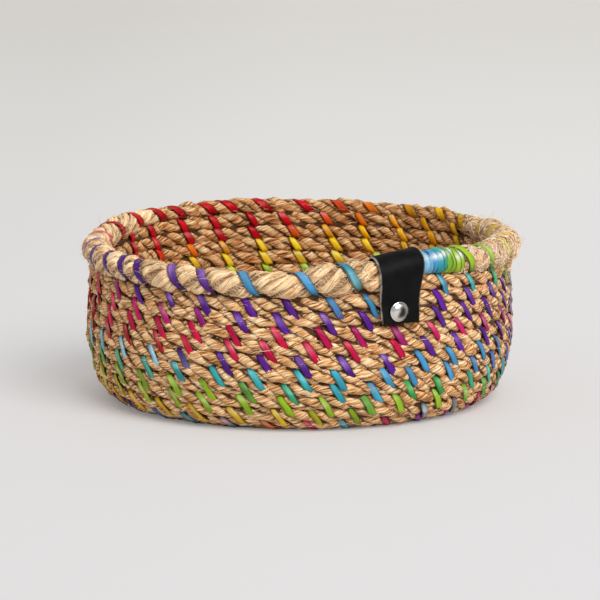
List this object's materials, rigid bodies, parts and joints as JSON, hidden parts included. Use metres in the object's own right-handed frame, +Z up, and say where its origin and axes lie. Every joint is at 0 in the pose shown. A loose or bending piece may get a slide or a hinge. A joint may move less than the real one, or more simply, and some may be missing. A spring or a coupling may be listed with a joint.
{
  "type": "coiled rope basket",
  "caption": "Round open basket: a coiled, ribbon-sewn sisal rope with a flat floor, upright wall, soft swollen rim and a riveted leather tab over the rope's end.",
  "frame": {"origin": "on the basket's axis, on the surface it stands on", "axes": "+Z up along the basket's axis, -Y towards the front, with the label 28 degrees right of the front"},
  "size_m": [0.2033, 0.2041, 0.0809],
  "materials": {
    "sisal_rope": "laid natural fibre, dry and hairy",
    "loose_sisal": "loose natural fibre, barely twisted",
    "ribbon_yellow": "dyed satin ribbon",
    "ribbon_lime": "dyed satin ribbon",
    "ribbon_green": "dyed satin ribbon",
    "ribbon_teal": "dyed satin ribbon",
    "ribbon_purple": "dyed satin ribbon",
    "ribbon_crimson": "dyed satin ribbon",
    "ribbon_magenta": "dyed satin ribbon",
    "ribbon_blue": "dyed satin ribbon",
    "black_leather": "smooth, slight gloss, pale cut edge",
    "plated_steel": "polished plating"
  },
  "bodies": {
    "root": {"rope_base": "sisal_rope", "rope_corner": "sisal_rope", "rope_wall_lower": "sisal_rope", "rope_wall_upper": "sisal_rope", "rope_rim": "loose_sisal", "ribbon_row_01": "ribbon_crimson", "ribbon_row_02": "ribbon_yellow", "ribbon_row_03": "ribbon_lime", "ribbon_row_04": "ribbon_green", "ribbon_row_05": "ribbon_teal", "ribbon_row_06": "ribbon_purple", "ribbon_row_07": "ribbon_crimson", "ribbon_row_08": "ribbon_magenta", "ribbon_row_09": "ribbon_purple", "ribbon_row_10": "ribbon_purple", "ribbon_row_11": "ribbon_blue", "end_binding": "ribbon_blue", "label_strap": "black_leather", "rivet_cap": "plated_steel", "rivet_post": "plated_steel"}
  },
  "joints": []
}
